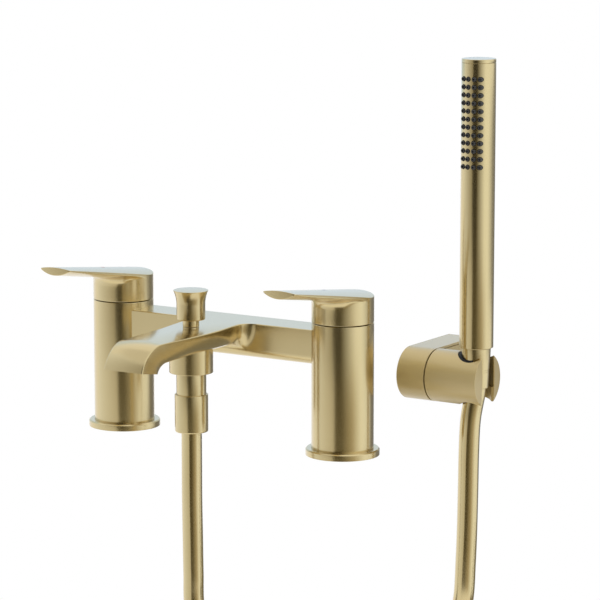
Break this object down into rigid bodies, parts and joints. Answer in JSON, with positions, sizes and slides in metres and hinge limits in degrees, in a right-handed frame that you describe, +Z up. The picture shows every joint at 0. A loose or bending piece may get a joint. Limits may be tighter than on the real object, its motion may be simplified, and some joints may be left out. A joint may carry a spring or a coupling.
{
  "type": "bath shower mixer",
  "caption": "Deck-mounted bath shower mixer with lever handles, a flat spout, a pull-up diverter, a hose, and a pencil handset in a swivelling wall holder.",
  "frame": {"origin": "on the deck, midway between the hot and cold inlets", "axes": "+X from the hot inlet to the cold inlet, -Y towards the bather, +Z up"},
  "size_m": [0.2874, 0.2367, 0.5458],
  "materials": {
    "satin_brass": "brushed, satin lacquer",
    "plain_brass": "turned, bare",
    "hose_skin": "smooth metallic PVC",
    "black_rubber": "matt",
    "black_silicone": "satin",
    "black_plastic": "moulded",
    "white_plastic": "moulded",
    "green_plastic": "moulded",
    "ceramic": "lapped",
    "steel": "bright",
    "red_enamel": "glossy",
    "blue_enamel": "glossy"
  },
  "bodies": {
    "mixer": {"bridge_spout": "satin_brass", "left_pillar": "satin_brass", "right_pillar": "satin_brass", "left_flange": "satin_brass", "right_flange": "satin_brass", "left_gasket": "black_rubber", "right_gasket": "black_rubber", "left_cartridge": "plain_brass", "right_cartridge": "plain_brass", "left_seat_washer": "black_rubber", "right_seat_washer": "black_rubber", "left_fixed_disc": "ceramic", "right_fixed_disc": "ceramic", "flow_straightener": "black_plastic", "diverter_bonnet": "satin_brass", "diverter_spring": "steel", "shower_outlet": "satin_brass", "check_valve": "white_plastic", "mixer_hose_washer": "black_rubber", "mixer_hose_ferrule": "plain_brass", "mixer_hose_nut": "satin_brass", "bracket_wall_plate": "steel", "bracket_arm": "satin_brass", "bracket_cover": "satin_brass", "bracket_grub_screw": "steel", "hose_mixer_run": "hose_skin", "hose_coil": "hose_skin", "hose_handset_run": "hose_skin", "hose_ties": "black_plastic"},
    "left_handle": {"left_lever": "satin_brass", "left_spindle": "plain_brass", "left_moving_disc": "ceramic", "left_grub_screw": "steel", "hot_index": "red_enamel"},
    "right_handle": {"right_lever": "satin_brass", "right_spindle": "plain_brass", "right_moving_disc": "ceramic", "right_grub_screw": "steel", "cold_index": "blue_enamel"},
    "diverter": {"diverter_knob": "satin_brass", "diverter_stem": "steel", "diverter_piston": "plain_brass", "diverter_seals": "black_rubber"},
    "bracket_holder": {"holder": "satin_brass", "holder_liner": "black_plastic", "pivot_bolt": "steel", "pivot_spring_washer": "steel", "friction_washer": "black_plastic"},
    "hose_end": {"handset_hose_ferrule": "plain_brass"},
    "handset": {"handset_nut": "satin_brass", "handset_tube": "satin_brass", "handset_cap": "satin_brass", "handset_tail": "plain_brass", "handset_washer": "black_rubber", "handset_waterway": "white_plastic", "nozzle_mat": "black_silicone", "flow_restrictor": "green_plastic"}
  },
  "joints": [
    {"name": "left_lever_turn", "type": "hinge", "parent": "mixer", "child": "left_handle", "pos_m": [-0.09, 0, 0.09], "axis": [0, 0, 1], "range_deg": [0, 90]},
    {"name": "right_lever_turn", "type": "hinge", "parent": "mixer", "child": "right_handle", "pos_m": [0.09, 0, 0.09], "axis": [0, 0, 1], "range_deg": [-90, 0]},
    {"name": "diverter_pull", "type": "slide", "parent": "mixer", "child": "diverter", "axis": [0, 0, 1], "range_m": [0, 0.008], "stiffness_N_per_m": 150, "springref_m": -0.002, "deforming": ["diverter_spring"]},
    {"name": "holder_swivel", "type": "hinge", "parent": "mixer", "child": "bracket_holder", "pos_m": [0.1311, 0.056, 0.0494], "axis": [1, 0, 0], "range_deg": [-10, 40], "deforming": ["hose_handset_run"]},
    {"name": "handset_lift", "type": "slide", "parent": "bracket_holder", "child": "hose_end", "axis": [0, 0, 1], "range_m": [0, 0.03], "deforming": ["hose_handset_run"]},
    {"name": "handset_twist", "type": "hinge", "parent": "hose_end", "child": "handset", "pos_m": [0.1609, 0.056, 0.07], "axis": [0, 0, 1], "continuous": true}
  ]
}
